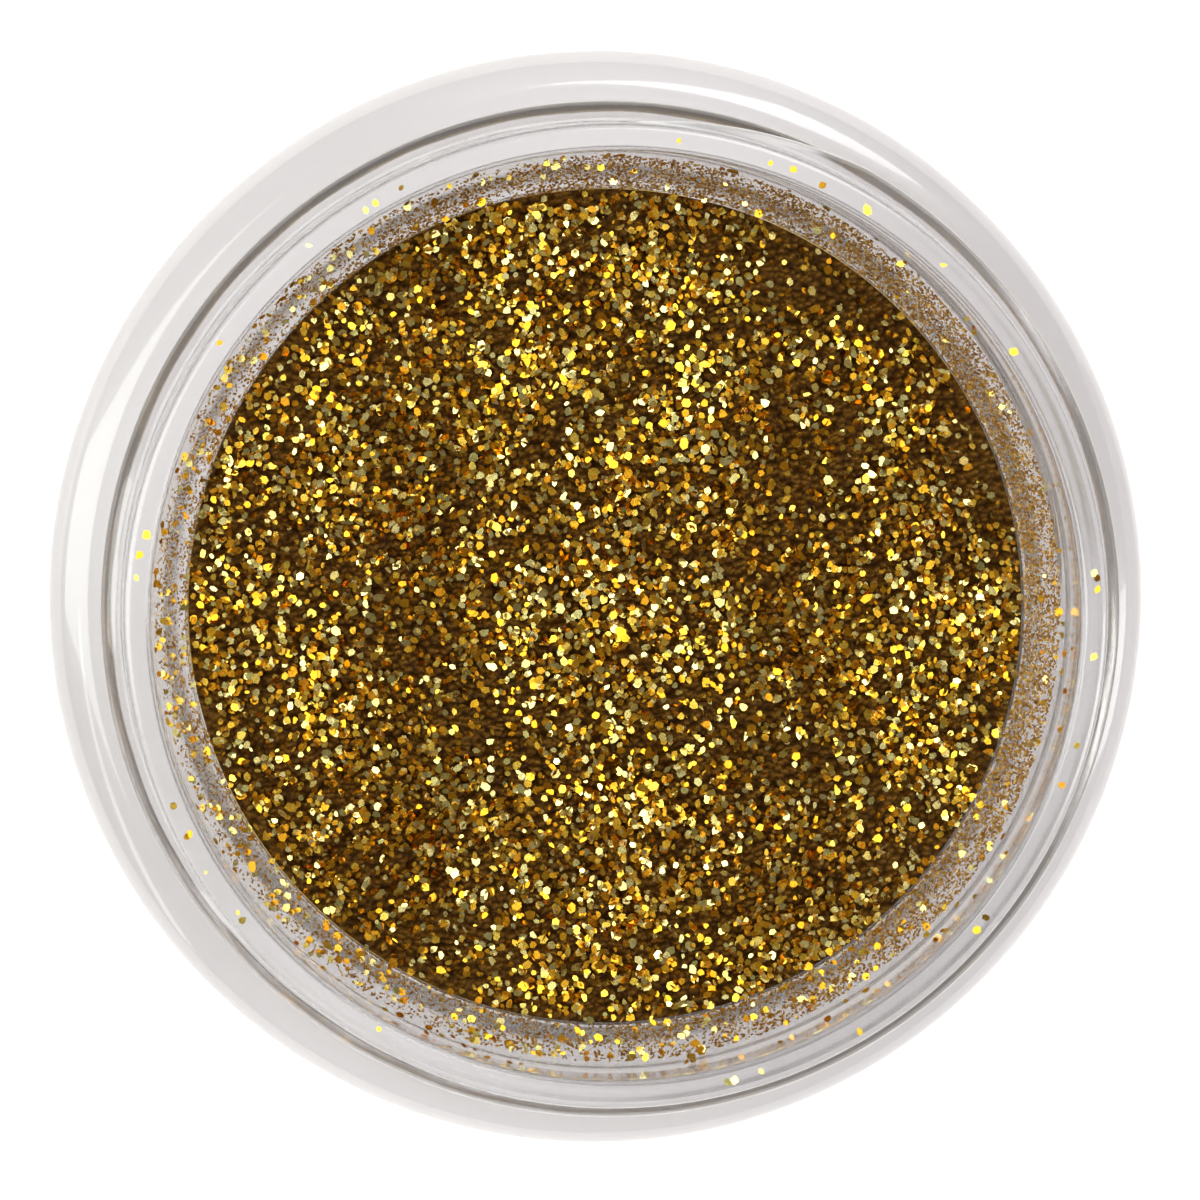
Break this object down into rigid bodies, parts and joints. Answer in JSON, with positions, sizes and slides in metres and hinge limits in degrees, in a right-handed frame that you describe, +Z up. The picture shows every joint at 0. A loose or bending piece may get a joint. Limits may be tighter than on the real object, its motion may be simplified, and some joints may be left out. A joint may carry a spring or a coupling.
{
  "type": "gold flake sample pot",
  "caption": "Squat clear screw-neck sample pot, open and nearly full of fine gold flake, with its ribbed white screw cap and foam liner lying upside down beside it.",
  "frame": {"origin": "middle of the pot's flat base, on the surface that it stands on", "axes": "+Z up along the pot's bore and out of its mouth; +X from the pot towards the cap that lies beside it"},
  "size_m": [0.068, 0.03, 0.0145],
  "materials": {
    "clear_plastic": "clear glossy moulded plastic",
    "gold_flake": "loose glittering leaf flake",
    "white_polypropylene": "satin moulded polypropylene",
    "foam": "fine closed-cell foam"
  },
  "bodies": {
    "pot": {"pot_body": "clear_plastic", "gold_flake_fill": "gold_flake"},
    "liner": {"cap_liner": "foam"},
    "cap": {"cap_shell": "white_polypropylene"}
  },
  "joints": [
    {"name": "cap_flip", "type": "hinge", "parent": "pot", "child": "liner", "pos_m": [0.019, 0, 0.012], "axis": [0, -1, 0], "range_deg": [0, 180]},
    {"name": "cap_turn", "type": "hinge", "parent": "liner", "child": "cap", "pos_m": [0.038, 0, 0], "axis": [0, 0, -1], "range_deg": [0, 450]}
  ]
}
